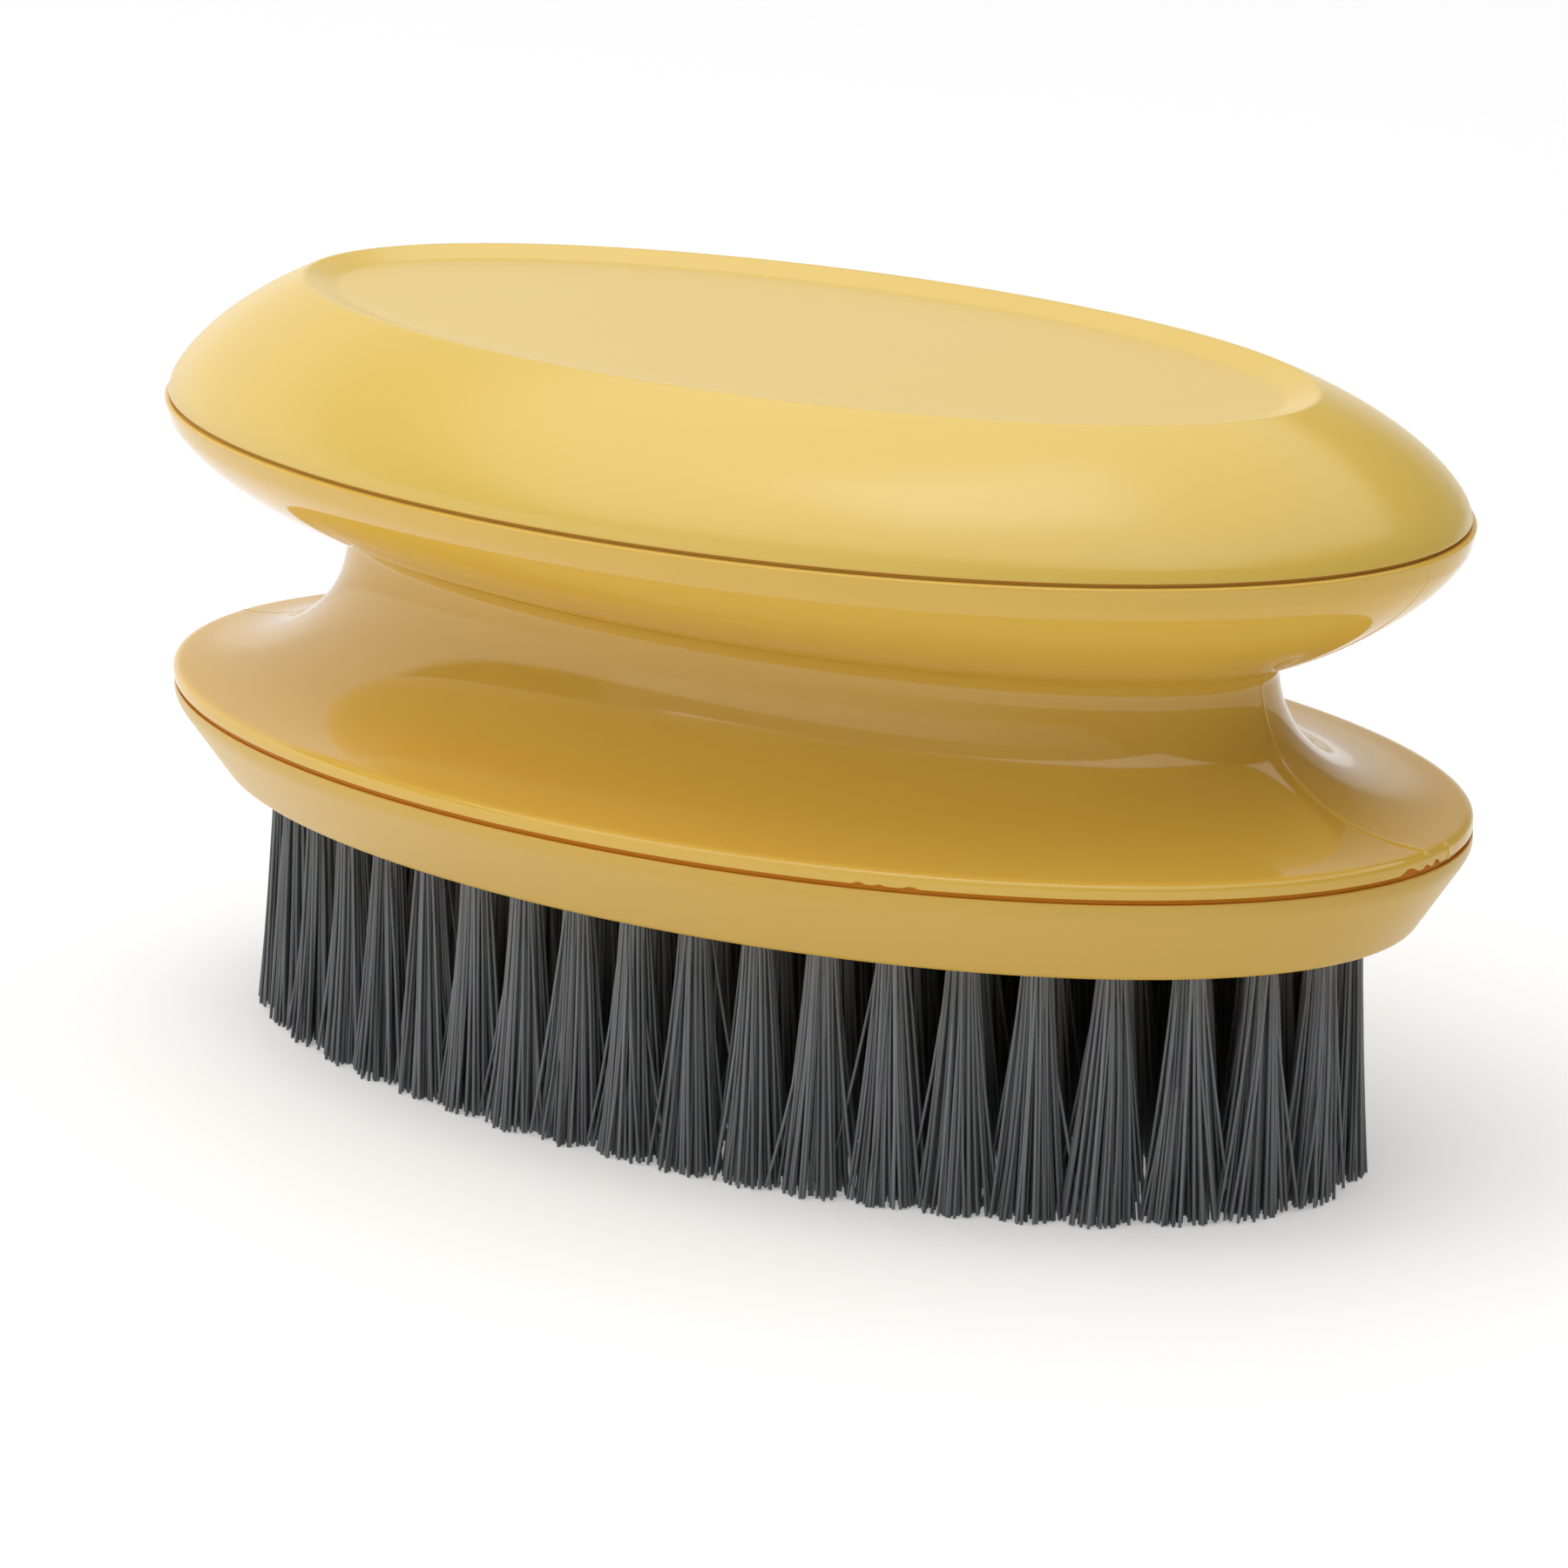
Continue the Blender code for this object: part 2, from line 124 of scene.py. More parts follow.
# Tufts: rows of holes under the base, and filaments whose tips reach along and across the row
ROW_INSET, ROW_STEP, OUTER_TUFTS = 10.4, 6.275, 42
INNER_ROWS = {"tuft_ring_02": 36, "tuft_ring_03": 30, "tuft_ring_04": 24, "tuft_row_centre": 11}
OUTER_TUFT = {"count": 104, "sides": 6, "steps": 4, "splay": -0.05, "reach": (3.1, 2.35)}
INNER_TUFT = {"count": 48, "sides": 4, "steps": 3, "splay": 0.2, "reach": (3.3, 3.2)}
HOLE_RADIUS, ROOT_DEPTH, TRIM, MOST_LEAN = 1.3, 0.3, 22.0, 5.0
FILAMENT_RADIUS, RADIUS_SPREAD, GOLDEN_ANGLE = 0.155, (0.92, 1.06), 2.399963
TUFT_LEAN, TIP_SPREAD, TIP_DRIFT = (0.25, 0.1), (0.24, 0.14), (-0.75, -0.6)
STRAY_SHARE, STRAY_SPREAD, BEND_SPREAD, TRIM_SPREAD = 0.22, 1.4, 0.12, 0.05
EARLY_OPENING, TONE_SPREAD = 0.7, 2.2
OVAL_SAMPLES, BRISTLE_SEED, BRISTLE_SHARP_EDGE = 2881, 7, 70

# Plastics: colour, roughness and strength of the moulded grain, the painted shade colour of the seams, and
# how the gloss fades in a seam
# The cover's colour is the body's mustard, painted paler and less red as a painted highlight for the
# washed-out look of its brightly lit top
COVER_FINISH = ((0.69, 0.475, 0.095), 0.25, 0.03)
BODY_FINISH = ((0.71, 0.45, 0.074), 0.07, 0.02)
BASE_FINISH = ((0.635, 0.395, 0.058), 0.30, 0.04)
# Painted shade in the seams: a dark orange colour laid into the grooves where shade falls, and the reach and
# ends of the gloss that fades with it
PAINTED_SEAM_SHADE_COLOUR, SEAM_SHADE, SEAM_GLOSS = (0.57, 0.195, 0.009), (0.0, 0.3), (0.5, 0.05)
CLOUD_TINT, UNEVEN_GLOSS, SURFACE_RELIEF, PLASTIC_IOR = 1.03, (0.96, 1.04), 0.00002, 1.5

# Nylon: its darkest and palest filament, and the painted shade that darkens the tips over their last 15 mm,
# given in metres
NYLON_TONES = ((0.083, 0.089, 0.094), (0.264, 0.276, 0.290))
NYLON_ROUGHNESS, NYLON_IOR, STREAK_STRETCH, STREAK_SHARE = (0.34, 0.48), 1.53, (1.0, 1.0, 0.05), 0.25
PAINTED_TIP_SHADE_HEIGHT, PAINTED_TIP_SHADE_SCALE = (0.0, 0.015), (0.74, 1.0)

# Floor: its half side, its two tones, and the glow that grows with the distance from the brush
FLOOR_SIZE, FLOOR_TONES, FLOOR_ROUGHNESS, FLOOR_SHINE = 4.0, (0.71, 0.74), 0.6, 0.2
GLOW_REACH, FLOOR_GLOW = (0.2, 1.6), (0.29, 0.8)

# Camera, fitted to the rims, seams and tips in the photograph, in degrees and metres
CAMERA_AZIMUTH, CAMERA_ELEVATION, CAMERA_LEAN = 39.37, 15.88, -0.68
CAMERA_TARGET, CAMERA_DISTANCE = (-0.00152, 0.0, 0.0256), 0.6332
CAMERA_LENS, CAMERA_SENSOR, CAMERA_CLIP = 170.0, 36.0, (0.01, 50.0)

# White surround: each wall's degrees from the camera's heading and strength, and the sines of the top edges
HIGH_WALLS = ((-115, 0.05),)
LOW_WALLS = ((-115, 1.13), (-60, 0.147), (-150, 0.066), (120, 0.118))
LOW_TOP, LOW_EDGE, LOW_DIP, DIP_AZIMUTH, DIP_POWER = 0.565, 0.012, 0.315, -93.3, 6.0
BACK_WALLS, BACK_TOP, BACK_EDGE, BACK_POWER = ((180, 0.24), (140, 0.114)), 0.225, 0.03, 3.0

# Soft boxes: degrees from the camera's heading and above the floor, distance, side and radiance
LAMP_AIM = (0, 0, 0.04)
SOFT_BOXES = {
    "overhead_small": (-85, 78, 0.7, 0.3, 2.0),
    "overhead_large": (0, 90, 0.75, 1.5, 1.55),
    "front_left_box": (-50, 48, 0.9, 1.25, 0.30),
}


def ease(a, b, t):
    """Straight mix of two numbers."""
    return a + (b - a) * t


def curve(a, corner, b, t):
    """A point of the smooth turn from one point to another that is drawn towards a corner."""
    return (1 - t) ** 2 * a + 2 * t * (1 - t) * corner + t * t * b


def rounded(corners, steps=5):
    """A profile through (inset, height, radius) corners, each turned in an arc of its radius."""
    out = []
    for i, (x, y, r) in enumerate(corners):
        p = np.array((x, y))
        if not r or i in (0, len(corners) - 1):
            out.append(p)
            continue
        before = np.array(corners[i - 1][:2]) - p
        after = np.array(corners[i + 1][:2]) - p
        r_in = min(r, np.linalg.norm(before) * CORNER_SHARE)
        r_out = min(r, np.linalg.norm(after) * CORNER_SHARE)
        a = p + before / np.linalg.norm(before) * r_in
        b = p + after / np.linalg.norm(after) * r_out
        out += [curve(a, p, b, k / steps) for k in range(steps + 1)]
    return out


def fillet(before, after, steps=18):
    """A smooth turn between two runs of a profile, drawn towards the point where their ends would meet."""
    a, b = np.array(before[-1]), np.array(after[0])
    along_a, along_b = a - np.array(before[-2]), b - np.array(after[1])
    share = np.linalg.solve(np.stack([along_a, -along_b], axis=1), b - a)
    corner = a + along_a * share[0]
    return [tuple(curve(a, corner, b, k / steps)) for k in range(1, steps)]


def roll(width, height, power, turn):
    """Inset and rise of a rolled edge at a turn from upright to level."""
    return width * (1 - max(math.cos(turn), 0.0) ** (2 / power)), height * math.sin(turn) ** (2 / power)


def last_turn(share, power):
    """The turn at which a rolled edge has come in by a share of its width."""
    return math.acos((1 - share) ** (power / 2))


def offset(profile, wall):
    """A profile moved square to itself by a wall, to the left of its run."""
    p = np.array(profile, float)
    along = np.gradient(p, axis=0)
    along /= np.linalg.norm(along, axis=1)[:, None]
    return np.stack([p[:, 0] - wall * along[:, 1], p[:, 1] + wall * along[:, 0]], axis=1)


def seam_lip(back, top, foot):
    """The lip behind a seam's outer edge that makes the seam a shallow groove."""
    return [(back, foot + HAIR), (back + LIP_DEPTH, foot + HAIR), (back + LIP_DEPTH, top)]


def bead(face):
    """The bead on an upright face, from its top down."""
    foot, low, high, top = BEAD_HEIGHTS
    return [(face, top), (face - BEAD_DEPTH, high), (face - BEAD_DEPTH, low), (face, foot)]


def cover_profile():
    """Outside of the cover from the panel's floor over the crest and down the dome, then its inside."""
    last = last_turn(CREST_INSET / DOME_REACH, DOME_POWER)
    stretch = (COVER_TOP - COVER_BOTTOM) / roll(DOME_REACH, 1, DOME_POWER, last)[1]
    dome = []
    for i in range(DOME_STEPS + 1):
        inset, rise = roll(DOME_REACH, stretch, DOME_POWER, last * (i / DOME_STEPS) ** DOME_CROWDING)
        dome.append((ease(COVER_STEP, CREST_INSET, inset / CREST_INSET), COVER_BOTTOM + rise))
    side = [q for q in dome if COVER_STEP + EDGE_CLEAR < q[0] < CREST_INSET - CREST_CLEAR]
    panel = rounded(
        [
            (PANEL_FLAT, PANEL_FLOOR, 0),
            (PANEL_INSET, PANEL_FLOOR, PANEL_ROUND),
            (CREST_INSET, COVER_TOP + HAIR, CREST_ROUND),
            (*side[-1], 0),
        ]
    )
    back = COVER_STEP + SEAM_DEPTH
    edge = rounded([(*side[0], 0), (COVER_STEP, COVER_BOTTOM, COVER_EDGE_ROUND), (back, COVER_BOTTOM, 0)])
    lip = seam_lip(back, COVER_BOTTOM, BODY_TOP)
    skirt = bead(SKIRT_FACE) + [(SKIRT_FACE, SKIRT_FOOT), (SKIRT_BACK, SKIRT_FOOT)]
    inner = [q for q in offset(dome, -COVER_WALL) if q[0] > SKIRT_BACK]
    roof = (PANEL_INSET, PANEL_FLOOR - COVER_WALL)
    return panel[:-1] + side[::-1] + edge[1:] + lip + skirt + inner[::COVER_SKIP] + [roof]


def body_profile():
    """Outside of the body from its top edge down to the lower rim, then its tongue, hollow and rebate."""
    last = last_turn(CREASE_INSET / HALF_WIDTH, BOWL_POWER)
    bowl, flare = [], []
    for i in range(BODY_STEPS + 1):
        inset, drop = roll(HALF_WIDTH, BOWL_DEPTH, BOWL_POWER, last * i / BODY_STEPS)
        bowl.append((inset, BOWL_TOP - drop))
        turn = math.pi / 2 * i / BODY_STEPS
        reach = max(math.cos(turn), 0.0) ** (2 / FLARE_POWER)
        drop = math.sin(turn) ** (2 / FLARE_POWER)
        flare.append((ease(FLARE_INSET, CREASE_INSET, reach), ease(CREASE_HEIGHT, FLARE_FOOT, drop)))
    roof = [q for q in bowl if q[0] < CREASE_INSET - CREASE_ROUND]
    waist = [q for q in flare if q[1] < CREASE_HEIGHT - CREASE_ROUND and q[0] > RIM_START]
    top = rounded(
        [
            (SKIRT_FACE - JOINT_PLAY, BODY_TOP, 0),
            (COVER_STEP + TOP_LEDGE, BODY_TOP, 0),
            (COVER_STEP + HAIR, BODY_TOP, 0),
            (0.0, BODY_TOP - TOP_EDGE_DROP, TOP_EDGE_ROUND),
            (*bowl[BOWL_FIRST], 0),
        ],
        steps=8,
    )
    rim = rounded(
        [
            (*waist[-1], 0),
            (0.0, FLARE_FOOT - HAIR, RIM_ROUND),
            (0.0, BODY_BOTTOM, RIM_EDGE_ROUND),
            (SEAM_DEPTH, BODY_BOTTOM, 0),
        ],
        steps=9,
    )
    outside = top[:-1] + roof[BOWL_FIRST + 1 :] + fillet(roof, waist) + waist + rim[1:]
    lip = seam_lip(SEAM_DEPTH, BODY_BOTTOM, BASE_TOP)
    tongue = [(TONGUE_FACE, TONGUE_FOOT), (TONGUE_BACK, TONGUE_FOOT), (TONGUE_BACK, BODY_BOTTOM)]
    return outside + lip + tongue + hollow(bowl, flare) + rebate()


def hollow(bowl, flare):
    """Inside of the body's wall, from the lower rim up past the crease to the rebate."""
    floor, roof = BODY_BOTTOM + HOLLOW_CLEAR, SKIRT_FOOT - 2 * JOINT_PLAY
    lower = [q for q in offset(flare, BODY_WALL)[::-1] if q[1] > floor]
    upper = [q for q in offset(bowl, BODY_WALL)[::-1] if q[1] < roof]
    return [(HOLLOW_RIM, BODY_BOTTOM)] + lower[::BODY_SKIP] + upper[::BODY_SKIP]


def rebate():
    """The step in the body's top that takes the cover's skirt, with a pocket for its bead."""
    face, floor = SKIRT_FACE - JOINT_PLAY, SKIRT_FOOT - JOINT_PLAY
    return [(SKIRT_BACK + JOINT_PLAY, floor), (face, floor)] + bead(face)[::-1]


def base_profile():
    """Outside of the base from its groove and top edge down the taper to its flat underside."""
    face, back, floor = TONGUE_FACE - JOINT_PLAY, TONGUE_BACK + JOINT_PLAY, TONGUE_FOOT - JOINT_PLAY
    groove = [(back, BASE_TOP), (back, floor), (face, floor)]
    outside = rounded(
        [
            (face, BASE_TOP, 0),
            (HAIR, BASE_TOP, BASE_EDGE_ROUND),
            (LAND_LEAN, BASE_TOP - BASE_LAND, LAND_ROUND),
            (BASE_TAPER, BASE_BOTTOM, TAPER_ROUND),
            (BASE_FLAT, BASE_BOTTOM, 0),
        ],
        steps=7,
    )
    return groove + outside


def away(turns, middle):
    """How far turns are from a middle one, the short way round."""
    return np.abs((turns - middle + math.pi) % (2 * math.pi) - math.pi)


def mould_line(turns, inset, height):
    """Shifts of the body's points that make the moulding line, the nicks and the flake."""
    across = np.sin(turns) * (HALF_WIDTH - inset)
    ridge = RIDGE_HEIGHT * np.exp(-((across / RIDGE_WIDTH) ** 2))
    ridge = ridge + STEP_HEIGHT * np.tanh(across / STEP_WIDTH) * np.exp(-((across / STEP_FADE) ** 2))
    outside = (inset > LINE_START) & (inset < CREASE_INSET + LINE_PAST_CREASE)
    outside = outside & (height > BODY_BOTTOM + LINE_CLEAR) & (height < BODY_TOP - LINE_CLEAR)
    ridge = ridge * np.where(height > CREASE_HEIGHT, BOWL_RIDGE, 1.0)
    ridge = ridge * outside * np.where(np.cos(turns) > 0, 1.0, LEFT_RIDGE)
    flake = FLAKE_RISE * np.exp(-((away(turns, FLAKE_TURN) / FLAKE_WIDTH) ** 2))
    rim = (inset < FLAKE_REACH) & (height > FLAKE_FOOT) & (height < FLAKE_TOP)
    ridge = np.maximum(ridge, flake * rim)
    lift = np.zeros_like(across)
    for middle, width, depth in NICKS:
        lift = np.maximum(lift, depth * np.clip(NICK_FLANK - away(turns, middle) / width, 0, 1))
    edge = (inset < NICK_REACH) & (height < NICK_TOP) & (height > BODY_BOTTOM - HAIR / 2)
    out, up = -np.gradient(height, axis=0), -np.gradient(inset, axis=0)
    run = np.hypot(out, up) + 1e-9
    return ridge * out / run * np.sign(np.cos(turns)), np.zeros_like(across), ridge * up / run + lift * edge


def stations(fine_ends):
    """Turns round the oval, with extra ones about the moulding line at both ends, the nicks and the flake."""
    turns = set(2 * math.pi * i / TURNS for i in range(TURNS))
    if fine_ends:
        for middle in (0.0, math.pi):
            turns |= {(middle + side * step) % (2 * math.pi) for side in (-1, 1) for step in FINE_STEPS}
        for middle, width, _ in NICKS + ((FLAKE_TURN, FLAKE_WIDTH, FLAKE_RISE),):
            turns |= {(middle + step * width) % (2 * math.pi) for step in NICK_STEPS}
    return np.array(sorted(turns))


def painted_shade_in_seam(inset, height):
    """How much painted shade a profile point inside one of the two seams takes: all of it in the upper half,
    where the edge above shades the groove, its seam's share in the lower half, and 0 outside them.
    """
    for top, foot, start, shade in SEAMS:
        if start < inset < SEAM_BACK and foot - HAIR < height < top + HAIR:
            return 1.0 if height > (foot + top) / 2 else shade
    return 0.0


def loft(name, profile, ring, fine_ends=False, shift=None):
    """One closed shell through the ovals of a profile: capped at both ends, or joined to itself as a ring."""
    turns = stations(fine_ends)
    count = len(turns)
    profile = np.array(profile, float)
    inset, height = profile[:, :1], profile[:, 1:]
    x = (HALF_LENGTH - inset) * np.cos(turns)
    y = (HALF_WIDTH - inset) * np.sin(turns)
    z = np.broadcast_to(height, x.shape).copy()
    if shift is not None:
        dx, dy, dz = shift(turns, inset, height)
        x, y, z = x + dx, y + dy, z + dz
    points = np.stack([x, y, z], axis=2).reshape(-1, 3) * MM
    rows = len(profile)
    faces = []
    for r in range(rows if ring else rows - 1):
        a, b = r * count, ((r + 1) % rows) * count
        for i in range(count):
            j = (i + 1) % count
            faces.append((a + i, a + j, b + j, b + i))
    if not ring:
        faces.append(tuple(range(count))[::-1])
        faces.append(tuple(range((rows - 1) * count, rows * count)))
    thing = new_object(name, points, faces)
    turn_faces_out(thing.data)
    # Painted shade: each point's share of the darker seam colour, which the plastic reads
    mark_points(thing.data, "painted_seam_shade", np.repeat([painted_shade_in_seam(*p) for p in profile], count))
    return thing


def new_object(name, points, faces):
    """A mesh object in the scene."""
    mesh = bpy.data.meshes.new(name)
    mesh.from_pydata([tuple(p) for p in points], [], faces)
    mesh.update()
    thing = bpy.data.objects.new(name, mesh)
    bpy.context.scene.collection.objects.link(thing)
    return thing


def turn_faces_out(mesh):
    """Faces that all look out, told by the sign of the volume that they enclose."""
    volume = 0.0
    for polygon in mesh.polygons:
        a, *rest = (mesh.vertices[i].co for i in polygon.vertices)
        for b, c in zip(rest, rest[1:]):
            volume += a.dot(b.cross(c))
    if volume < 0:
        mesh.flip_normals()


def mark_points(mesh, name, values):
    """A number for each point of a mesh, which a material can read."""
    layer = mesh.attributes.new(name, "FLOAT", "POINT")
    layer.data.foreach_set("value", np.array(values, np.float32))


def smooth(thing, angle):
    """Smooth shading, broken at edges sharper than an angle in degrees."""
    thing.data.shade_smooth()
    thing.data.set_sharp_from_angle(angle=math.radians(angle))


def node_adder(tree):
    """A helper that adds a node to a tree, with links into it and values for its settings and sockets."""

    def add(kind, links=(), **values):
        node = tree.nodes.new(kind)
        for key, value in values.items():
            if hasattr(node, key):
                setattr(node, key, value)
            else:
                node.inputs[key.replace("_", " ")].default_value = value
        for socket, source in links:
            tree.links.new(source, node.inputs[socket])
        return node

    return add


def new_material(name):
    """A material, its tree, its Principled shader and a helper that adds nodes."""
    material = bpy.data.materials.new(name)
    material.use_nodes = True
    tree = material.node_tree
    return material, tree, tree.nodes["Principled BSDF"], node_adder(tree)


def remap(add, source, reach, result, **settings):
    """A value carried from one reach to another."""
    node = add("ShaderNodeMapRange", [("Value", source)], **settings)
    for socket, value in zip(("From Min", "From Max", "To Min", "To Max"), (*reach, *result)):
        node.inputs[socket].default_value = value
    return node.outputs["Result"]


def plastic(name, colour, rough, grain):
    """Moulded plastic: a faint cloudy colour, painted shade with less gloss in the seams, a moulded skin of
    fine grain and an uneven gloss.
    """
    material, tree, shader, add = new_material(name)
    place = add("ShaderNodeTexCoord").outputs["Object"]
    clouds = add("ShaderNodeTexNoise", [("Vector", place)], Scale=40.0, Detail=1.0, Roughness=0.4)
    cloud = clouds.outputs["Fac"]
    tint = add("ShaderNodeMix", [("Factor", cloud)], data_type="RGBA")
    tint.inputs["A"].default_value = (*colour, 1)
    tint.inputs["B"].default_value = (*(min(1.0, c * CLOUD_TINT) for c in colour), 1)
    # Painted shade: points in a seam are coloured darker and lose most of their gloss
    painted_seam_shade = add("ShaderNodeAttribute", attribute_name="painted_seam_shade").outputs["Fac"]
    deep = add("ShaderNodeMix", [("Factor", painted_seam_shade), ("A", tint.outputs["Result"])], data_type="RGBA")
    deep.inputs["B"].default_value = (*PAINTED_SEAM_SHADE_COLOUR, 1)
    tree.links.new(deep.outputs["Result"], shader.inputs["Base Color"])
    tree.links.new(remap(add, painted_seam_shade, SEAM_SHADE, SEAM_GLOSS), shader.inputs["Specular IOR Level"])
    gloss = remap(add, cloud, (0.0, 1.0), [rough * share for share in UNEVEN_GLOSS])
    tree.links.new(gloss, shader.inputs["Roughness"])
    fine = add("ShaderNodeTexNoise", [("Vector", place)], Scale=2600.0, Detail=2.0).outputs["Fac"]
    skin = add("ShaderNodeBump", [("Height", fine)], Strength=grain, Distance=SURFACE_RELIEF)
    tree.links.new(skin.outputs["Normal"], shader.inputs["Normal"])
    shader.inputs["IOR"].default_value = PLASTIC_IOR
    return material


def nylon(name):
    """Dark grey nylon filament: a tone of its own, painted shade that darkens it towards the tips, faint
    streaks and a soft gloss.
    """
    material, tree, shader, add = new_material(name)
    place = add("ShaderNodeTexCoord").outputs["Object"]
    stretch = add("ShaderNodeMapping", [("Vector", place)], Scale=STREAK_STRETCH).outputs["Vector"]
    streak = add("ShaderNodeTexNoise", [("Vector", stretch)], Scale=2500.0, Detail=1.0)
    tone = add("ShaderNodeAttribute", attribute_name="tone").outputs["Fac"]
    ramp = add("ShaderNodeValToRGB", [("Fac", tone)])
    for element, colour in zip(ramp.color_ramp.elements, NYLON_TONES):
        element.color = (*colour, 1)
    layers = [("A", ramp.outputs["Color"]), ("B", streak.outputs["Color"])]
    shade = add("ShaderNodeMix", layers, data_type="RGBA", blend_type="MULTIPLY", Factor=STREAK_SHARE)
    # Painted shade: the colour darkens over the last 15 mm towards the tips, which sit in the shade under the
    # brush
    height = add("ShaderNodeSeparateXYZ", [("Vector", place)]).outputs["Z"]
    painted_tip_shade = add("ShaderNodeVectorMath", [(0, shade.outputs["Result"])], operation="SCALE")
    tree.links.new(remap(add, height, PAINTED_TIP_SHADE_HEIGHT, PAINTED_TIP_SHADE_SCALE), painted_tip_shade.inputs["Scale"])
    tree.links.new(painted_tip_shade.outputs["Vector"], shader.inputs["Base Color"])
    gloss = remap(add, streak.outputs["Fac"], (0.0, 1.0), NYLON_ROUGHNESS)
    tree.links.new(gloss, shader.inputs["Roughness"])
    rub = add("ShaderNodeBump", [("Height", streak.outputs["Fac"])], Strength=0.25, Distance=SURFACE_RELIEF)
    tree.links.new(rub.outputs["Normal"], shader.inputs["Normal"])
    shader.inputs["IOR"].default_value = NYLON_IOR
    return material


def even_stations(half_length, half_width, count):
    """Places and outward headings at even arc steps round an oval."""
    t = np.linspace(0, 2 * math.pi, OVAL_SAMPLES)
    x, y = half_length * np.cos(t), half_width * np.sin(t)
    run = np.concatenate([[0], np.cumsum(np.hypot(np.diff(x), np.diff(y)))])
    out = []
    for k in range(count):
        turn = np.interp(run[-1] * k / count, run, t)
        heading = math.atan2(half_length * math.sin(turn), half_width * math.cos(turn)) - math.pi / 2
        out.append((half_length * math.cos(turn), half_width * math.sin(turn), heading))
    return out


def filament(rng, share, lean_all, splay, reach):
    """Root, tip and bend across the tuft, height of the cut tip and radius of one filament."""
    stray = rng.normal(0, STRAY_SPREAD) if rng.random() < STRAY_SHARE else 0.0
    root = share * (HOLE_RADIUS - FILAMENT_RADIUS)
    tip = share * reach + rng.normal(0, TIP_SPREAD) + lean_all + (stray, splay)
    bend = rng.normal(0, BEND_SPREAD, 2)
    lean = min(np.linalg.norm(tip - root), MOST_LEAN)
    rise = TRIM - math.sqrt(TRIM**2 - lean**2) + abs(rng.normal(0, TRIM_SPREAD))
    return root, tip, bend, rise, FILAMENT_RADIUS * rng.uniform(*RADIUS_SPREAD)


def filaments(rng, spots, count, sides, steps, splay, reach):
    """Points, faces and tones of the filaments of tufts at the given (x, y, heading) spots."""
    ring = np.arange(sides) * 2 * math.pi / sides
    shares = np.linspace(0, 1, steps + 1)
    points, faces, tones = [], [], []
    for x0, y0, heading in spots:
        turned = np.array([[math.cos(heading), -math.sin(heading)], [math.sin(heading), math.cos(heading)]])
        spin = rng.uniform(0, 2 * math.pi)
        lean_all = rng.normal(0, TUFT_LEAN)
        for k in range(count):
            radius = math.sqrt((k + 0.5) / count)
            angle = spin + k * GOLDEN_ANGLE
            share = radius * np.array((math.cos(angle), math.sin(angle)))
            root, tip, bend, rise, size = filament(rng, share, lean_all, splay, reach)
            first = len(points)
            for down in shares:
                sway = 4 * down * (1 - down)
                opening = EARLY_OPENING * down + (1 - EARLY_OPENING) * down**2
                middle = root + (tip - root) * opening + bend * sway
                x, y = turned @ middle + np.array(TIP_DRIFT) * opening
                z = ease(BASE_BOTTOM + ROOT_DEPTH, rise, down)
                points += [(x0 + x + size * math.cos(a), y0 + y + size * math.sin(a), z) for a in ring]
            for s in range(steps):
                for i in range(sides):
                    j = (i + 1) % sides
                    a, b = first + s * sides, first + (s + 1) * sides
                    faces.append((a + i, b + i, b + j, a + j))
            faces.append(tuple(first + i for i in range(sides)))
            faces.append(tuple(first + steps * sides + i for i in range(sides))[::-1])
            tones += [float(rng.beta(TONE_SPREAD, TONE_SPREAD))] * ((steps + 1) * sides)
    return np.array(points) * MM, faces, tones


def bristle_object(name, made, material):
    """One object for a set of filaments, each with its own tone."""
    points, faces, tones = made
    thing = new_object(name, points, faces)
    mark_points(thing.data, "tone", tones)
    smooth(thing, BRISTLE_SHARP_EDGE)
    thing.data.materials.append(material)
    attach(thing, "root")
    return thing


def make_bristles(material):
    """Every tuft of the outer row as a piece of its own, and each row inside it as one piece."""
    rng = np.random.default_rng(BRISTLE_SEED)
    outer = even_stations(HALF_LENGTH - ROW_INSET, HALF_WIDTH - ROW_INSET, OUTER_TUFTS)
    for number, spot in enumerate(outer, 1):
        made = filaments(rng, [spot], **OUTER_TUFT)
        piece = bristle_object(f"filaments_outer_{number:02d}", made, material)
        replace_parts(piece, f"tuft_outer_{number:02d}")
    for row, (node, count) in enumerate(INNER_ROWS.items(), 1):
        inset = ROW_INSET + row * ROW_STEP
        half_length, half_width = HALF_LENGTH - inset, HALF_WIDTH - inset
        if node == "tuft_row_centre":
            spots = [(half_length * (2 * k / (count - 1) - 1), 0.0, 0.0) for k in range(count)]
        else:
            spots = even_stations(half_length, half_width, count)
        made = filaments(rng, spots, **INNER_TUFT)
        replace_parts(bristle_object(node.replace("tuft", "filaments"), made, material), node)


def make_shells():
    """The three smooth shells with their plastics."""
    cover = loft("cover_shell", cover_profile(), False)
    body = loft("body_shell", body_profile(), True, fine_ends=True, shift=mould_line)
    base = loft("base_shell", base_profile(), False)
    dressings = {
        cover: ("top_cover", "cover_plastic", COVER_FINISH),
        body: ("grip_body", "body_plastic", BODY_FINISH),
        base: ("bristle_base", "base_plastic", BASE_FINISH),
    }
    for thing, (node, slot_name, finish) in dressings.items():
        smooth(thing, SHARP_EDGE)
        thing.data.materials.append(plastic(slot_name + "_look", *finish))
        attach(thing, "root")
        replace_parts(thing, node)


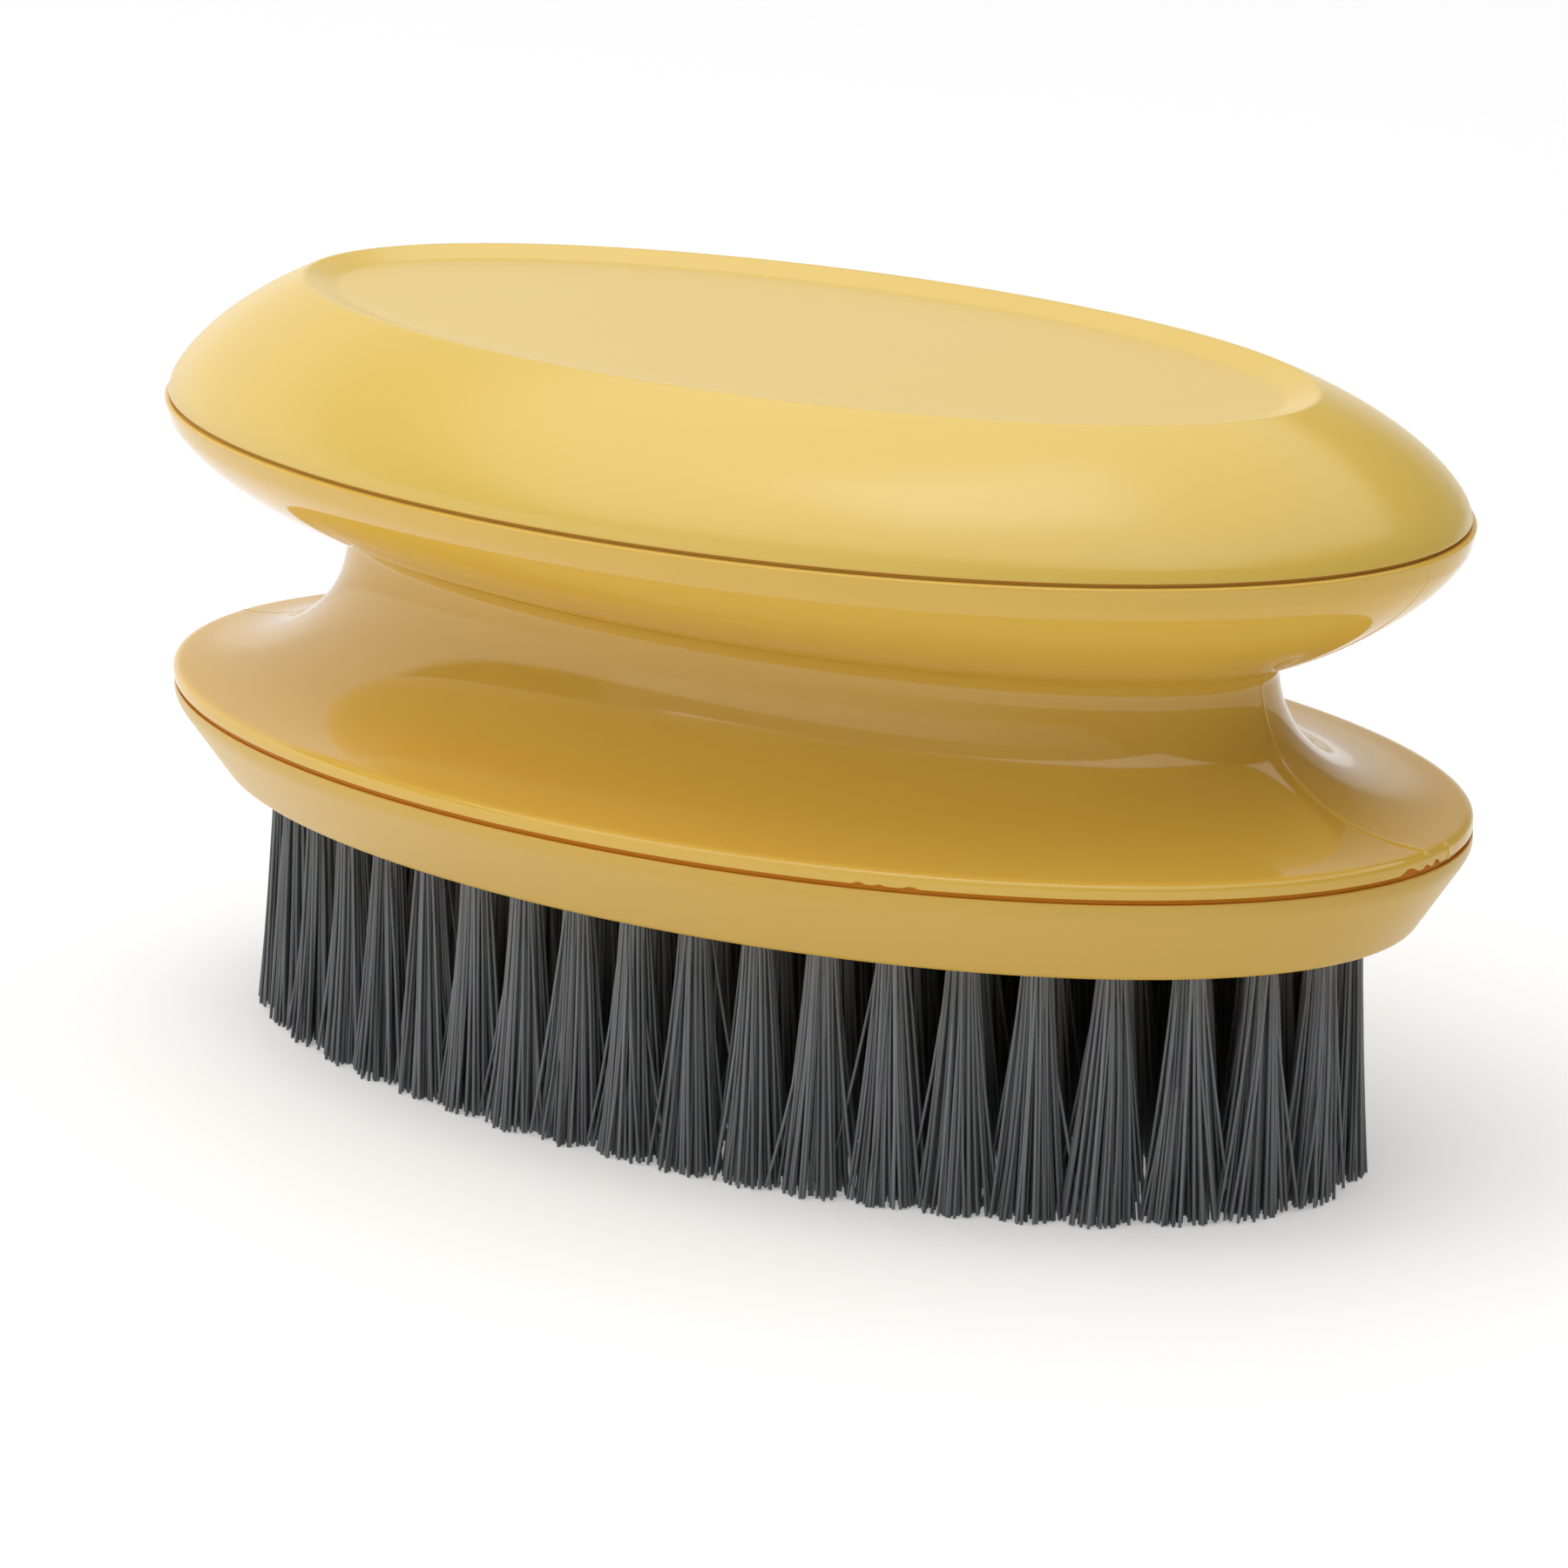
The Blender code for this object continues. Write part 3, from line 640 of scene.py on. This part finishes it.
def make_floor():
    """A plain pale floor that the brush stands on, lit from below as a light table is."""
    points = [(x * FLOOR_SIZE, y * FLOOR_SIZE, 0) for x, y in ((-1, -1), (1, -1), (1, 1), (-1, 1))]
    floor = new_object("studio_floor", points, [(0, 1, 2, 3)])
    material, tree, shader, add = new_material("studio_floor_look")
    place = add("ShaderNodeTexCoord").outputs["Object"]
    cloud = add("ShaderNodeTexNoise", [("Vector", place)], Scale=3.0, Detail=2.0)
    ramp = add("ShaderNodeValToRGB", [("Fac", cloud.outputs["Fac"])])
    for element, tone in zip(ramp.color_ramp.elements, FLOOR_TONES):
        element.color = (tone, tone, tone, 1)
    tree.links.new(ramp.outputs["Color"], shader.inputs["Base Color"])
    shader.inputs["Roughness"].default_value = FLOOR_ROUGHNESS
    shader.inputs["Specular IOR Level"].default_value = FLOOR_SHINE
    shader.inputs["Emission Color"].default_value = (1, 1, 1, 1)
    distance = add("ShaderNodeVectorMath", [(0, place)], operation="LENGTH").outputs["Value"]
    glow = remap(add, distance, GLOW_REACH, FLOOR_GLOW, interpolation_type="SMOOTHSTEP")
    tree.links.new(glow, shader.inputs["Emission Strength"])
    floor.data.materials.append(material)


def direction(azimuth, elevation):
    """A unit vector at degrees to the right of the camera's heading and degrees above the floor."""
    turn, rise = math.radians(CAMERA_AZIMUTH + azimuth), math.radians(elevation)
    return Vector((math.sin(turn) * math.cos(rise), -math.cos(turn) * math.cos(rise), math.sin(rise)))


def soft_box(name, azimuth, elevation, distance, size, radiance):
    """A square soft lamp aimed at the middle of the brush."""
    data = bpy.data.lights.new(name, "AREA")
    data.shape = "SQUARE"
    data.size = size
    data.energy = radiance * math.pi * size**2
    lamp = bpy.data.objects.new(name, data)
    bpy.context.scene.collection.objects.link(lamp)
    lamp.location = Vector(LAMP_AIM) + direction(azimuth, elevation) * distance
    lamp.rotation_euler = direction(azimuth, elevation).to_track_quat("Z", "Y").to_euler()


def make_world():
    """White light from low walls round the brush, whose top edge dips on the left, and from one behind."""
    world = bpy.data.worlds.new("studio_world")
    bpy.context.scene.world = world
    world.use_nodes = True
    tree = world.node_tree
    add = node_adder(tree)
    place = add("ShaderNodeTexCoord").outputs["Generated"]

    def work_out(operation, *values):
        """The result of a Math node on numbers and other nodes' outputs."""
        node = add("ShaderNodeMath", operation=operation)
        for socket, value in zip(node.inputs, values):
            if isinstance(value, (int, float)):
                socket.default_value = value
            else:
                tree.links.new(value, socket)
        return node.outputs["Value"]

    def towards(azimuth):
        """How squarely a place of the surround lies towards an azimuth, and 0 on the far side."""
        facing = add("ShaderNodeVectorMath", [(0, place)], operation="DOT_PRODUCT")
        facing.inputs[1].default_value = direction(azimuth, 0)
        return work_out("MAXIMUM", facing.outputs["Value"], 0.0)

    def walls(settings, power=None):
        """The light of walls, each strongest at its azimuth."""
        total = 0.0
        for azimuth, strength in settings:
            facing = towards(azimuth)
            if power:
                facing = work_out("POWER", facing, power)
            total = work_out("MULTIPLY_ADD", facing, strength, total)
        return total

    height = add("ShaderNodeSeparateXYZ", [(0, place)]).outputs["Z"]
    dip = work_out("MULTIPLY", work_out("POWER", towards(DIP_AZIMUTH), DIP_POWER), LOW_DIP)
    above = work_out("ADD", work_out("SUBTRACT", height, LOW_TOP), dip)
    low_part = remap(add, above, (-LOW_EDGE, LOW_EDGE), (1.0, 0.0))
    back_part = remap(add, height, (BACK_TOP - BACK_EDGE, BACK_TOP + BACK_EDGE), (1.0, 0.0))
    total = work_out("MULTIPLY_ADD", low_part, walls(LOW_WALLS), walls(HIGH_WALLS))
    total = work_out("MULTIPLY_ADD", back_part, walls(BACK_WALLS, BACK_POWER), total)
    background = tree.nodes["Background"]
    background.inputs["Color"].default_value = (1, 1, 1, 1)
    tree.links.new(total, background.inputs["Strength"])


def make_light():
    """Soft studio light: the white surround, two soft boxes overhead and one in front on the left."""
    bpy.context.scene.view_settings.view_transform = "Standard"
    make_world()
    for name, setting in SOFT_BOXES.items():
        soft_box(name, *setting)


def make_camera():
    """The photograph's viewing angle, leaned a little about the line of sight."""
    lean = math.radians(CAMERA_LEAN)
    back, right = direction(0, CAMERA_ELEVATION), direction(90, 0)
    up = back.cross(right)
    across = right * math.cos(lean) + up * math.sin(lean)
    upward = up * math.cos(lean) - right * math.sin(lean)
    data = bpy.data.cameras.new("photo_camera")
    data.lens, data.sensor_width = CAMERA_LENS, CAMERA_SENSOR
    data.clip_start, data.clip_end = CAMERA_CLIP
    camera = bpy.data.objects.new("photo_camera", data)
    bpy.context.scene.collection.objects.link(camera)
    turned = Matrix((across, upward, back)).transposed().to_4x4()
    camera.matrix_world = Matrix.Translation(Vector(CAMERA_TARGET) + back * CAMERA_DISTANCE) @ turned
    bpy.context.scene.camera = camera


make_shells()
make_bristles(nylon("bristle_nylon_look"))
make_floor()
make_light()
make_camera()
